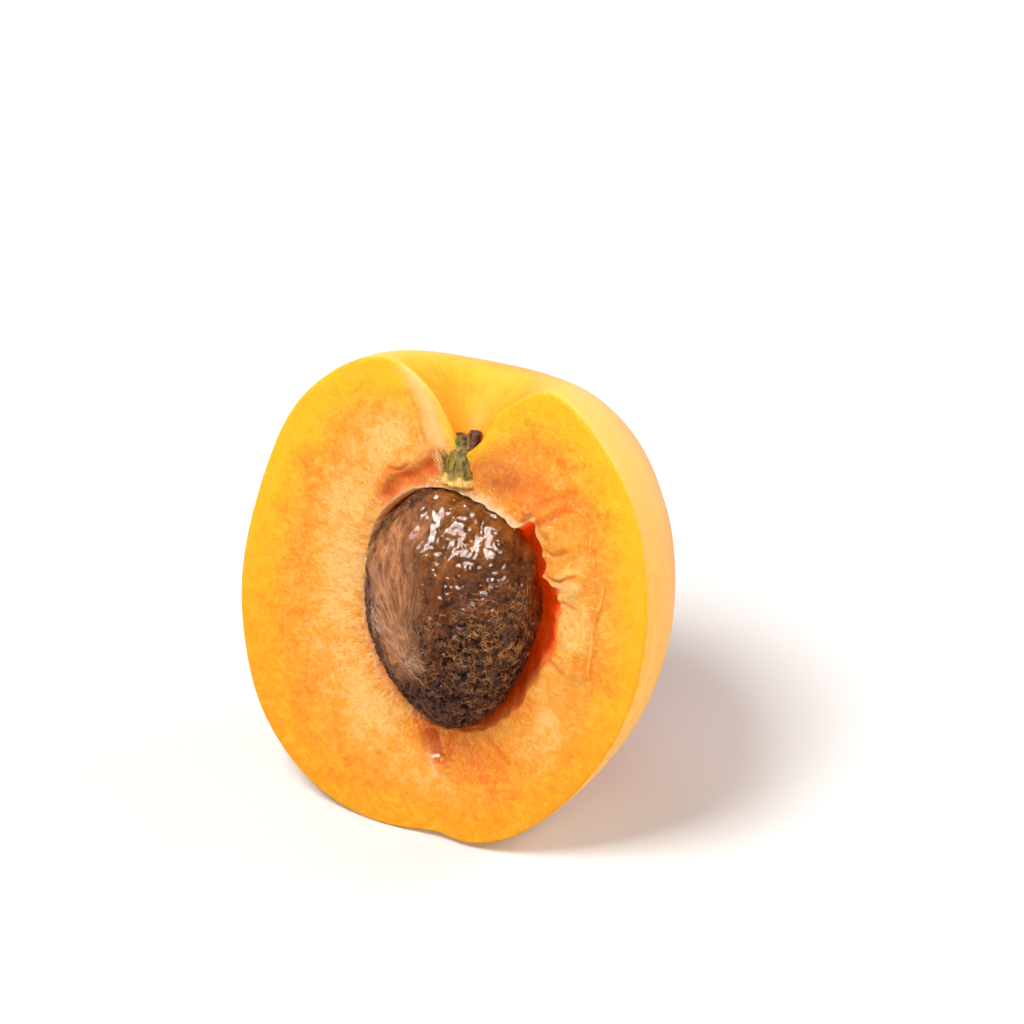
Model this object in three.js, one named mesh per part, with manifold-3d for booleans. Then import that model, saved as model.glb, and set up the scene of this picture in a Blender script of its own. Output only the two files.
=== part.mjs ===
// Half of a ripe apricot, cut down its seam, with the stone in its hollow and a stub of the stalk.
// Millimetres, +Z up. Each piece is shaped upright, with its cut face on the plane y = 0 looking
// towards -Y, the stalk at the top and the cheek behind it towards +Y. The whole half then leans
// back onto the flat spot that it rests on.

import * as THREE from "three";
import { mergeVertices } from "three/addons/utils/BufferGeometryUtils.js";
import Module from "manifold-3d";

const wasm = await Module();
wasm.setup();

// ---- Driving dimensions -------------------------------------------------------------------------

const LEAN = 20; // degrees that the cut face leans back from upright
const RESTING_DEPTH = 2.5; // what the flat spot takes off the round underside
const GAP = 0.3; // between pieces that touch

// Profiles of the fruit, each from the floor of the stem cavity over the shoulder and down to the
// tip, as [distance from the axis, height above the middle]. The first two are the sides of the cut
// outline, and the third runs down the middle of the cheek.
const RIGHT_SIDE = [
  [0, 16.6], [2.2, 18.8], [4.8, 23.1], [10.4, 26.2], [16.6, 22.0], [21.6, 14.4],
  [23.7, 3.0], [22.2, -8.0], [17.2, -17.8], [10.6, -24.9], [4.6, -27.9], [0, -27.8],
];
const LEFT_SIDE = [
  [0, 16.6], [1.5, 19.2], [4.8, 23.4], [10.2, 25.6], [16.8, 22.4], [22.4, 15.2],
  [26.2, 2.0], [26.6, -8.4], [23.6, -18.8], [17.0, -25.9], [8.4, -28.7], [0, -27.8],
];
const CHEEK = [
  [0, 16.6], [2.0, 17.9], [5.2, 21.2], [10.2, 23.7], [16.6, 20.8], [22.2, 12.8],
  [25.3, 1.8], [25.2, -8.4], [21.5, -18.4], [14.8, -25.4], [6.8, -28.6], [0, -27.8],
];

const STONE = {
  halfWidth: 10.4,
  halfLength: 13.6,
  halfThickness: 7.0,
  taper: 0.14, // how much narrower the tip end is than the stalk end
  shoulder: 0.13, // more taper on the right, where the stone is fuller at the stalk end
  keel: 1.85, // exponent of the cross-section: under 2 draws its edges out to a keel
  centre: new THREE.Vector3(0.1, 0, -1.0),
  turn: -5, // degrees about Y
};

const HOLLOW = {
  halfWidth: 11.7,
  halfLength: 14.7,
  depth: 8.1,
  taper: 0.08,
  centre: new THREE.Vector3(1.0, 0, -0.7),
  turn: -5,
};

const STALK = {
  foot: new THREE.Vector3(-0.4, 0.8, 13.6),
  fork: new THREE.Vector3(-0.2, 1.1, 16.9),
  leftTip: new THREE.Vector3(-1.5, 1.2, 18.2),
  rightTip: new THREE.Vector3(1.0, 1.4, 19.4),
  footRadius: 1.5,
  forkRadius: 1.15,
  tipRadius: 0.75,
};

// ---- Solids -------------------------------------------------------------------------------------

// A closed three.js geometry as a solid that can be joined and cut.
function solid(geometry) {
  const bare = new THREE.BufferGeometry();
  bare.setAttribute("position", geometry.getAttribute("position").clone());
  bare.setIndex(geometry.getIndex());
  const merged = mergeVertices(bare, 1e-4);
  return new wasm.Manifold(
    new wasm.Mesh({
      numProp: 3,
      vertProperties: merged.getAttribute("position").array,
      triVerts: merged.getIndex().array,
    }),
  );
}

function geometryOf(manifold) {
  const mesh = manifold.getMesh();
  const geometry = new THREE.BufferGeometry();
  geometry.setAttribute("position", new THREE.BufferAttribute(mesh.vertProperties, 3));
  geometry.setIndex(new THREE.BufferAttribute(mesh.triVerts, 1));
  geometry.computeVertexNormals();
  return geometry;
}

// Moves every vertex of a geometry to where shape(point) puts it.
function reshape(geometry, shape) {
  const position = geometry.getAttribute("position");
  const point = new THREE.Vector3();
  for (let i = 0; i < position.count; i++) {
    shape(point.fromBufferAttribute(position, i));
    position.setXYZ(i, point.x, point.y, point.z);
  }
  return geometry;
}

// ---- The fruit ----------------------------------------------------------------------------------

function sideProfile(points) {
  return new THREE.CatmullRomCurve3(
    points.map(([out, up]) => new THREE.Vector3(out, 0, up)),
    false,
    "centripetal",
  );
}

// The whole fruit as a ring of profiles, which turn from one of the given ones into the next.
function fruitGeometry(aroundSteps = 80, downSteps = 46) {
  const [right, left, cheek] = [RIGHT_SIDE, LEFT_SIDE, CHEEK].map((points) =>
    sideProfile(points).getSpacedPoints(downSteps),
  );
  const positions = [];
  for (let i = 0; i < aroundSteps; i++) {
    const angle = (2 * Math.PI * i) / aroundSteps;
    const [across, back] = [Math.cos(angle), Math.sin(angle)];
    const side = across > 0 ? right : left;
    for (let j = 0; j <= downSteps; j++) {
      const p = side[j].clone().lerp(cheek[j], back ** 2);
      positions.push(p.x * across, p.x * back, p.z);
    }
  }
  const index = [];
  const row = downSteps + 1;
  for (let i = 0; i < aroundSteps; i++) {
    const next = (i + 1) % aroundSteps;
    for (let j = 0; j < downSteps; j++) {
      const [a, b] = [i * row + j, next * row + j];
      if (j > 0) index.push(a, b + 1, b);
      if (j < downSteps - 1) index.push(a, a + 1, b + 1);
    }
  }
  // The first and last points of every profile are one point each, at the two ends of the axis.
  const pole = (k) => (k % row === 0 ? 0 : k % row === downSteps ? downSteps : k);
  const geometry = new THREE.BufferGeometry();
  geometry.setAttribute("position", new THREE.Float32BufferAttribute(positions, 3));
  geometry.setIndex(index.map(pole));
  return geometry;
}

// An egg with its big end up, lens-shaped in cross-section, its half sizes along X, Y and Z.
function eggGeometry(halfWidth, halfThickness, halfLength, taper, shoulder, keel) {
  return reshape(new THREE.SphereGeometry(1, 40, 26), (p) => {
    const up = p.y; // a sphere's poles lie along Y
    const round = Math.hypot(p.x, p.z);
    const angle = Math.atan2(p.z, p.x);
    const lens = (Math.abs(Math.cos(angle)) ** keel + Math.abs(Math.sin(angle)) ** keel) ** (-1 / keel);
    const narrowing = taper + shoulder * Math.max(0, Math.cos(angle)) ** 2;
    const girth = round > 1e-6 ? round * lens * (1 + narrowing * up) : 0;
    p.set(
      girth * Math.cos(angle) * halfWidth,
      -girth * Math.sin(angle) * halfThickness,
      up * halfLength,
    );
  });
}

function stoneGeometry() {
  const s = STONE;
  return eggGeometry(s.halfWidth, s.halfThickness, s.halfLength, s.taper, s.shoulder, s.keel)
    .rotateY(THREE.MathUtils.degToRad(s.turn))
    .translate(s.centre.x, s.centre.y, s.centre.z);
}

function hollowGeometry() {
  const h = HOLLOW;
  return eggGeometry(h.halfWidth, h.depth, h.halfLength, h.taper, 0, 2)
    .rotateY(THREE.MathUtils.degToRad(h.turn))
    .translate(h.centre.x, h.centre.y, h.centre.z);
}

// A round limb from one point to another, tapering between two radii.
function limb(from, to, fromRadius, toRadius, sides = 12) {
  const along = to.clone().sub(from);
  const turn = new THREE.Quaternion().setFromUnitVectors(
    new THREE.Vector3(0, 1, 0),
    along.clone().normalize(),
  );
  const middle = from.clone().add(to).multiplyScalar(0.5);
  return solid(
    new THREE.CylinderGeometry(toRadius, fromRadius, along.length(), sides)
      .applyQuaternion(turn)
      .translate(middle.x, middle.y, middle.z),
  );
}

// The forked stub of the stalk, with every radius grown by clearance.
function stalkSolid(clearance = 0) {
  const s = STALK;
  const foot = s.foot.clone().setZ(s.foot.z - clearance);
  const [wide, narrow, tip] = [s.footRadius, s.forkRadius, s.tipRadius].map((r) => r + clearance);
  const knuckle = new THREE.SphereGeometry(narrow, 12, 8).translate(s.fork.x, s.fork.y, s.fork.z);
  return limb(foot, s.fork, wide, narrow)
    .add(solid(knuckle))
    .add(limb(s.fork, s.leftTip, narrow, tip))
    .add(limb(s.fork, s.rightTip, narrow, tip));
}

// ---- Cutting and placing ------------------------------------------------------------------------

const lean = THREE.MathUtils.degToRad(-LEAN);
const box = (x, y, z) => new THREE.BoxGeometry(x, y, z);
const BIG = 120; // longer than anything in the fruit

const inFront = box(BIG, BIG, BIG).translate(0, -BIG / 2, 0);
const fruit = solid(fruitGeometry());
const leaning = geometryOf(fruit.subtract(solid(inFront))).rotateX(lean);
leaning.computeBoundingBox();
const floorHeight = leaning.boundingBox.min.z + RESTING_DEPTH;
const belowFloor = box(BIG, BIG, BIG)
  .translate(0, 0, floorHeight - BIG / 2)
  .rotateX(-lean);

const stone = solid(stoneGeometry());
const stalk = stalkSolid().subtract(solid(stoneGeometry().scale(1.02, 1.02, 1.02).translate(0, 0, GAP)));
const half = fruit
  .subtract(solid(inFront))
  .subtract(solid(hollowGeometry()))
  .subtract(stalkSolid(GAP))
  .subtract(solid(belowFloor));

function piece(name, manifold, color, roughness) {
  const material = new THREE.MeshStandardMaterial({ color, roughness, metalness: 0 });
  const mesh = new THREE.Mesh(geometryOf(manifold), material);
  mesh.name = name;
  return mesh;
}

const leaningHalf = new THREE.Group();
leaningHalf.rotation.x = lean;
leaningHalf.add(
  piece("apricot_half", half, 0xf7a42c, 0.45),
  piece("stone", stone, 0x6b3f22, 0.35),
  piece("stalk_stub", stalk, 0x7d7f2e, 0.7),
);

// The origin is on the resting surface, under the middle of the half's bounding box.
const apricot = new THREE.Group();
apricot.add(leaningHalf);
const bounds = new THREE.Box3().setFromObject(apricot, true);
const middle = bounds.getCenter(new THREE.Vector3());
leaningHalf.position.set(-middle.x, -middle.y, -floorHeight);

export default apricot;
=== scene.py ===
import math
import random

import bpy
import numpy as np
from mathutils import Matrix, Vector, noise


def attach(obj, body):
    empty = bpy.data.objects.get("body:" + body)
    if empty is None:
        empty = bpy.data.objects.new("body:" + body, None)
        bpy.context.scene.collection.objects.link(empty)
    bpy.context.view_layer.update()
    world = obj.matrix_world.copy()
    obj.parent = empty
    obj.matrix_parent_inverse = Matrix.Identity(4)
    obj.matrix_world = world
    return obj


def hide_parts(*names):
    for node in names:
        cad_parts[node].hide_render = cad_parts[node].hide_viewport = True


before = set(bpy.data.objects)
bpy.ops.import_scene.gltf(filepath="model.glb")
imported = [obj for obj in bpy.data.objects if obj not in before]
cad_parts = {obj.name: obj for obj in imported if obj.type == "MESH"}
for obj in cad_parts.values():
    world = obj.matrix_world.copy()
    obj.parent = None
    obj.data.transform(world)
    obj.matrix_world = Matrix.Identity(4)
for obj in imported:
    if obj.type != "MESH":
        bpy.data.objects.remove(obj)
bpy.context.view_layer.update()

# ---- Driving sizes, in millimetres ---------------------------------------------------------------
# Each piece is shaped as the fruit grew: X to the right across the cut face, Y into the cheek behind
# it, Z up to the stalk, from the middle of the face. lean_back() then puts it in the frame.

MM = 0.001
LEAN = math.radians(20)
FACE_MIDDLE = Vector((1.55, -7.77, 27.03))
TO_FRAME = Matrix.Scale(MM, 4) @ Matrix.Translation(FACE_MIDDLE) @ Matrix.Rotation(-LEAN, 4, "X")

# Profiles from the floor of the stem cavity down to the tip: (distance from the axis, height).
RIGHT_SIDE = (
    (0, 16.6), (2.2, 18.8), (4.8, 23.1), (10.4, 26.2), (16.6, 22.0), (21.6, 14.4),
    (23.7, 3.0), (22.2, -8.0), (17.2, -17.8), (10.6, -24.9), (4.6, -27.9), (0, -27.8),
)
LEFT_SIDE = (
    (0, 16.6), (1.5, 19.2), (4.8, 23.4), (10.2, 25.6), (16.8, 22.4), (22.4, 15.2),
    (26.2, 2.0), (26.6, -8.4), (23.6, -18.8), (17.0, -25.9), (8.4, -28.7), (0, -27.8),
)
CHEEK = (
    (0, 16.6), (2.0, 17.9), (5.2, 21.2), (10.2, 23.7), (16.6, 20.8), (22.2, 12.8),
    (25.3, 1.8), (25.2, -8.4), (21.5, -18.4), (14.8, -25.4), (6.8, -28.6), (0, -27.8),
)

HOLLOW_MIDDLE = (1.0, -0.7)  # across and up
HOLLOW_DEPTH = 8.1
LIP_ROUND = 0.5
RIM_ROUND = 0.22

STONE_MIDDLE = (0.1, 0.0, -1.0)
STONE_HALF = (10.4, 7.0, 13.6)
STONE_TAPER = 0.14
STONE_SHOULDER = 0.13  # more taper on the right
STONE_KEEL = 1.85
STONE_SWIRL = (-1.6, -6.2, -4.4)  # where the film's strands run together, from the stone's middle
TURN = math.radians(-5)  # of the stone about Y

AROUND = 400  # vertices round the half
CROWDING = 0.42  # how much closer together they are at the stem cavity
HOLLOW_RINGS = 44
FACE_RINGS = 92
SKIN_RINGS = 104
STONE_AROUND = 340
STONE_RINGS = 250
SORTING_PLACE = (0.37, 0.61, 1.93)  # off every line of symmetry of a unit ball

# The lip of the hollow, from its right round over the top: across and up.
LIP = (
    (12.7, -0.2), (13.2, 2.0), (12.5, 4.4), (11.2, 5.5), (11.3, 6.8), (10.6, 8.4), (9.9, 9.7),
    (9.4, 11.4), (8.4, 10.9), (7.6, 10.6), (5.3, 11.4), (3.2, 12.2), (1.0, 12.5), (-1.0, 12.5),
    (-3.2, 12.1), (-5.2, 11.2), (-6.8, 10.0), (-8.2, 8.4), (-9.4, 6.2), (-10.2, 3.0), (-10.6, -0.1),
    (-10.6, -2.8), (-10.3, -5.1), (-9.7, -7.3), (-8.9, -9.2), (-7.3, -11.4), (-5.5, -13.2), (-3.6, -14.2),
    (-1.1, -14.6), (1.4, -14.7), (4.5, -13.9), (6.3, -12.5), (8.6, -10.0), (10.3, -7.2), (11.9, -4.3),
    (12.6, -1.7),
)

# Creases in the cut face: their points across and up, half width and depth.
CREASES = (
    (((8.4, 11.2), (9.8, 11.3), (11.4, 12.3), (13.3, 13.9)), 0.6, 0.5),
    (((9.2, 12.6), (10.5, 13.7), (12.1, 14.6), (14.0, 15.7)), 0.6, 0.35),
    (((10.6, 6.5), (12.0, 5.8), (13.2, 5.7), (14.2, 6.3), (15.3, 6.9)), 0.2, 0.6),
    (((11.2, 8.6), (12.4, 8.4), (13.8, 9.2)), 0.3, 0.4),
    (((12.6, 2.9), (13.8, 3.2), (15.4, 3.0)), 0.2, 0.3),
    (((12.4, -3.2), (13.4, -4.2), (14.6, -4.6)), 0.25, 0.35),
    (((-6.9, 22.6), (-6.2, 21.4), (-5.7, 20.5)), 0.16, 0.1),
    (((-5.6, 19.8), (-4.9, 18.6), (-4.2, 17.2)), 0.18, 0.12),
    (((-8.9, 9.8), (-7.9, 11.5), (-6.4, 12.7), (-4.8, 13.7), (-3.4, 14.8), (-2.6, 16.0)), 0.85, 0.8),
    (((-8.6, 13.4), (-7.4, 13.4), (-6.4, 14.2)), 0.25, 0.3),
    (((-3.2, -14.8), (-2.4, -16.6), (-1.8, -18.4)), 0.22, 0.6),
    (((-2.0, -15.2), (-1.0, -17.2), (-0.2, -19.5)), 0.3, 1.0),
    (((-1.0, -15.5), (-0.2, -17.2), (0.9, -19.7)), 0.25, 0.9),
    (((0.8, -15.6), (0.9, -17.2), (1.4, -18.9)), 0.2, 0.45),
    (((5.4, -14.0), (6.6, -15.6), (8.4, -17.0)), 0.2, 0.25),
)

# Thin raised veins, in the same way.
UPPER_VEIN = (
    (11.2, 12.4), (13.2, 13.9), (14.8, 14.1), (15.8, 13.3), (16.5, 12.0), (16.4, 10.5), (16.8, 9.1),
    (17.0, 7.8),
)
LOWER_VEIN = ((18.3, 6.2), (18.1, 4.1), (17.7, 2.2), (17.6, 0.5), (17.7, -1.5), (17.4, -3.8), (17.6, -6.0))
VEINS = ((UPPER_VEIN, 0.16, 0.22), (LOWER_VEIN, 0.18, 0.22))

# Patches of the cut face: middle across and up, and reach across and up.
PALE_PATCHES = (
    (-13.5, -1.0, 2.6, 8.0), (-9.5, -14.5, 4.4, 3.4), (-10.0, 17.0, 5.0, 3.6), (14.6, 2.0, 2.0, 5.0),
    (-0.5, -22.0, 3.6, 1.8), (12.5, -13.0, 3.0, 4.0), (-14.0, 9.0, 3.0, 4.0),
)
RIPE_PATCHES = (
    (3.6, -17.2, 5.4, 3.4), (-1.5, -16.4, 3.0, 2.2), (9.6, -11.2, 1.8, 2.6), (9.0, 14.4, 4.4, 2.2),
)
# Painted brown shade in the valleys beside the stalk and round the stone.
BROWN_SHADE_PATCHES = (
    (-5.8, 12.9, 2.6, 1.3), (-3.6, 14.6, 1.7, 1.7), (4.9, 15.4, 4.6, 2.2), (-8.4, 11.0, 1.6, 1.4),
    (-1.4, -16.6, 1.4, 2.0),
)
TORN_PATCHES = ((-0.4, -18.8, 1.4, 1.6), (8.6, 12.0, 1.8, 1.0))
BLUSH_PATCHES = ((-12.0, 2.0, 10.0, 12.0),)  # on the skin behind

# Pale smears in the cut face: their points across and up, and half width.
PALE_LINES = (
    (((-7.2, 25.2), (-5.6, 23.2), (-4.3, 21.0), (-2.6, 17.4)), 1.1),
    (((12.6, 5.0), (13.8, 5.2), (15.4, 5.8)), 0.55),
    (((-1.8, -18.0), (-1.0, -19.6), (-0.4, -21.0)), 0.3),
)

# ---- Camera, first, because everything is judged through it --------------------------------------

EYE = Vector((246.1, -357.6, 374.0)) * MM
EYE_RIGHT_OF_FACE = math.radians(28)
EYE_ABOVE_FACE = math.radians(21)
ROLL = math.radians(4)
LENS = 177.9
SENSOR = 36


def add_camera():
    """Looks at the cut face from its right and from above, turned a little about its own axis."""
    towards_eye = Vector((
        math.sin(EYE_RIGHT_OF_FACE) * math.cos(EYE_ABOVE_FACE),
        -math.cos(EYE_RIGHT_OF_FACE) * math.cos(EYE_ABOVE_FACE),
        math.sin(EYE_ABOVE_FACE),
    ))
    right = Vector((0, 0, 1)).cross(towards_eye).normalized()
    axes = Matrix((right, towards_eye.cross(right), towards_eye)).transposed()
    lens = bpy.data.cameras.new("camera")
    lens.lens = LENS
    lens.sensor_width = SENSOR
    lens.clip_start = 0.01
    camera = bpy.data.objects.new("camera", lens)
    bpy.context.collection.objects.link(camera)
    turned = Matrix.Rotation(-LEAN, 3, "X") @ axes @ Matrix.Rotation(ROLL, 3, "Z")
    camera.matrix_world = Matrix.Translation(EYE) @ turned.to_4x4()
    bpy.context.scene.camera = camera


add_camera()

# ---- Curves and fields ---------------------------------------------------------------------------


def smooth_curve(points, steps=14):
    """Points along a smooth curve through the given ones."""
    p = np.array(points, float)
    p = np.vstack([2 * p[0] - p[1], p, 2 * p[-1] - p[-2]])
    t = np.linspace(0, 1, steps, endpoint=False)[:, None]
    parts = [
        b + (c - a) * t / 2 + (2 * a - 5 * b + 4 * c - d) * t**2 / 2 + (3 * b - a - 3 * c + d) * t**3 / 2
        for a, b, c, d in zip(p, p[1:], p[2:], p[3:])
    ]
    return np.vstack([*parts, p[-2:-1]])


def step(values, low, high):
    """0 below low, 1 above high, and smooth between them."""
    t = np.clip((values - low) / (high - low), 0, 1)
    return t * t * (3 - 2 * t)


def bumps(points, size, seed=0.0):
    """Smooth noise from about -1 to 1, with bumps of the given size, at each point."""
    return np.array([noise.noise(Vector(p)) for p in points / size + seed])


def ridges(points, size, seed=0.0):
    """Noise from 0 to 1 that peaks along thin winding lines."""
    return 1 - np.abs(bumps(points, size, seed)) * 2


def fall_off(gap, half_width):
    """1 where the gap is 0, falling off to 0 on both sides."""
    return np.exp(-((gap / half_width) ** 2))


def gap_to(across, up, line):
    """How far each place in the cut face is from a smooth line through the given points."""
    curve = smooth_curve(line, 8)
    gap = np.full(len(across), np.inf)
    for (a, b), (c, d) in zip(curve, curve[1:]):
        along = ((across - a) * (c - a) + (up - b) * (d - b)) / ((c - a) ** 2 + (d - b) ** 2)
        along = np.clip(along, 0, 1)
        gap = np.minimum(gap, np.hypot(across - a - along * (c - a), up - b - along * (d - b)))
    return gap


def carved(across, up, lines, out, inward):
    """The face with lines sunk into it, or raised from it where inward is -1, and where they are."""
    near, beside = np.zeros((2, len(across)))
    for line, half_width, depth in lines:
        gap = gap_to(across, up, line)
        middle, shoulder = fall_off(gap, half_width), fall_off(gap, half_width * 3)
        out = out + (shoulder * 0.45 - middle) * depth * inward
        near = np.maximum(near, middle * min(1.0, depth / half_width))
        beside = np.maximum(beside, shoulder)
    return out, near, beside


def patches(across, up, spots):
    """1 in the middle of each soft oval patch, falling off to 0 round it."""
    cover = np.zeros(len(across))
    for middle_x, middle_z, reach_x, reach_z in spots:
        away = ((across - middle_x) / reach_x) ** 2 + ((up - middle_z) / reach_z) ** 2
        cover = np.maximum(cover, np.exp(-away))
    return cover


# ---- Meshes --------------------------------------------------------------------------------------


def new_ball(name, segments, rings):
    """A unit sphere with its poles on Z, to be shaped.

    It is made with its faces in another order each time, so they are sorted by how far each is from
    one place. What is laid on the piece then comes out the same in every run.
    """
    bpy.ops.object.select_all(action="DESELECT")
    bpy.ops.mesh.primitive_uv_sphere_add(segments=segments, ring_count=rings, radius=1)
    ball = bpy.context.object
    ball.name = ball.data.name = name
    cursor = bpy.context.scene.cursor
    cursor.location = SORTING_PLACE
    bpy.ops.object.mode_set(mode="EDIT")
    bpy.ops.mesh.select_all(action="SELECT")
    bpy.ops.mesh.sort_elements(type="CURSOR_DISTANCE", elements={"FACE"})
    bpy.ops.object.mode_set(mode="OBJECT")
    cursor.location = (0, 0, 0)
    return ball


def places(piece):
    """Where every vertex is."""
    flat = np.empty(len(piece.data.vertices) * 3)
    piece.data.vertices.foreach_get("co", flat)
    return flat.reshape(-1, 3)


def move_to(piece, points):
    """Puts every vertex where points says."""
    piece.data.vertices.foreach_set("co", np.ascontiguousarray(points, dtype=np.float32).ravel())
    piece.data.update()


def normals(piece):
    """Which way is out of the piece at every vertex."""
    flat = np.empty(len(piece.data.vertices) * 3)
    piece.data.vertices.foreach_get("normal", flat)
    return flat.reshape(-1, 3)


def paint(piece, **layers):
    """Keeps one number or one vector for each vertex, for the piece's material to read."""
    for name, values in layers.items():
        vector = values.ndim == 2
        layer = piece.data.attributes.new(name, "FLOAT_VECTOR" if vector else "FLOAT", "POINT")
        layer.data.foreach_set("vector" if vector else "value", values.astype(np.float32).ravel())


def lean_back(piece):
    """From the upright fruit's millimetres to the frame."""
    piece.data.transform(TO_FRAME)
    piece.data.update()


def settle(piece, material_slot, *nodes):
    """Smooth faces, and what the piece is in the frame."""
    piece.data.polygons.foreach_set("use_smooth", [True] * len(piece.data.polygons))
    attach(piece, "root")
    if nodes:
        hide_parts(*nodes)


# ---- Materials -----------------------------------------------------------------------------------


class Wire:
    """One output of a material's nodes, with arithmetic."""

    def __init__(self, recipe, socket):
        self.recipe = recipe
        self.socket = socket

    def maths(self, operation, first, second):
        return self.recipe.node("ShaderNodeMath", {"operation": operation}, {0: first, 1: second})

    def __add__(self, other):
        return self.maths("ADD", self, other)

    def __sub__(self, other):
        return self.maths("SUBTRACT", self, other)

    def __rsub__(self, other):
        return self.maths("SUBTRACT", other, self)

    def __mul__(self, other):
        return self.maths("MULTIPLY", self, other)

    __radd__ = __add__
    __rmul__ = __mul__

    def step(self, low, high):
        """0 at low, 1 at high, and smooth between them."""
        sockets = {"Value": self, "From Min": low, "From Max": high}
        return self.recipe.node("ShaderNodeMapRange", {"interpolation_type": "SMOOTHSTEP"}, sockets)

    def stretched(self, x, y, z):
        """This vector, with each of its parts made longer or shorter."""
        return self.recipe.node("ShaderNodeVectorMath", {"operation": "MULTIPLY"}, {0: self, 1: (x, y, z)})


class Recipe:
    """The nodes of one material."""

    def __init__(self, name, **constants):
        self.material = bpy.data.materials.new(name)
        self.material.use_nodes = True
        self.tree = self.material.node_tree
        self.surface = self.tree.nodes["Principled BSDF"]
        self.feed(**constants)

    def node(self, kind, settings, sockets, output=0):
        """Adds a node with its settings first, then the values or wires of its sockets."""
        made = self.tree.nodes.new(kind)
        for name, value in settings.items():
            setattr(made, name, value)
        for name, value in sockets.items():
            self.join(value, made.inputs[name])
        return Wire(self, made.outputs[output])

    def join(self, value, socket):
        if isinstance(value, Wire):
            self.tree.links.new(value.socket, socket)
        else:
            socket.default_value = value

    def feed(self, **inputs):
        """Joins values or wires to the shader: base_color feeds its Base Color."""
        for name, value in inputs.items():
            self.join(value, self.surface.inputs[name.replace("_", " ").title().replace("Ior", "IOR")])

    def painted(self, name, part=2):
        """What paint() kept: 1 gives a vector, and 2 a number."""
        return self.node("ShaderNodeAttribute", {"attribute_name": name}, {}, part)

    def bumps(self, place, per_mm, detail=2.0, distortion=0.0, rough=0.5):
        """Noise from 0 to 1."""
        sockets = {
            "Vector": place,
            "Scale": per_mm,
            "Detail": detail,
            "Distortion": distortion,
            "Roughness": rough,
        }
        return self.node("ShaderNodeTexNoise", {}, sockets)

    def mix(self, below, above, cover):
        """One colour laid over another."""
        return self.node("ShaderNodeMix", {"data_type": "RGBA"}, {0: cover, 6: below, 7: above}, 2)

    def relief(self, height, depth_mm):
        """A bumpy normal from a height of 0 to 1."""
        sockets = {"Height": height, "Distance": depth_mm * MM, "Strength": 1.0}
        return self.node("ShaderNodeBump", {}, sockets)


def colour(red, green, blue):
    return (red, green, blue, 1.0)


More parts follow.
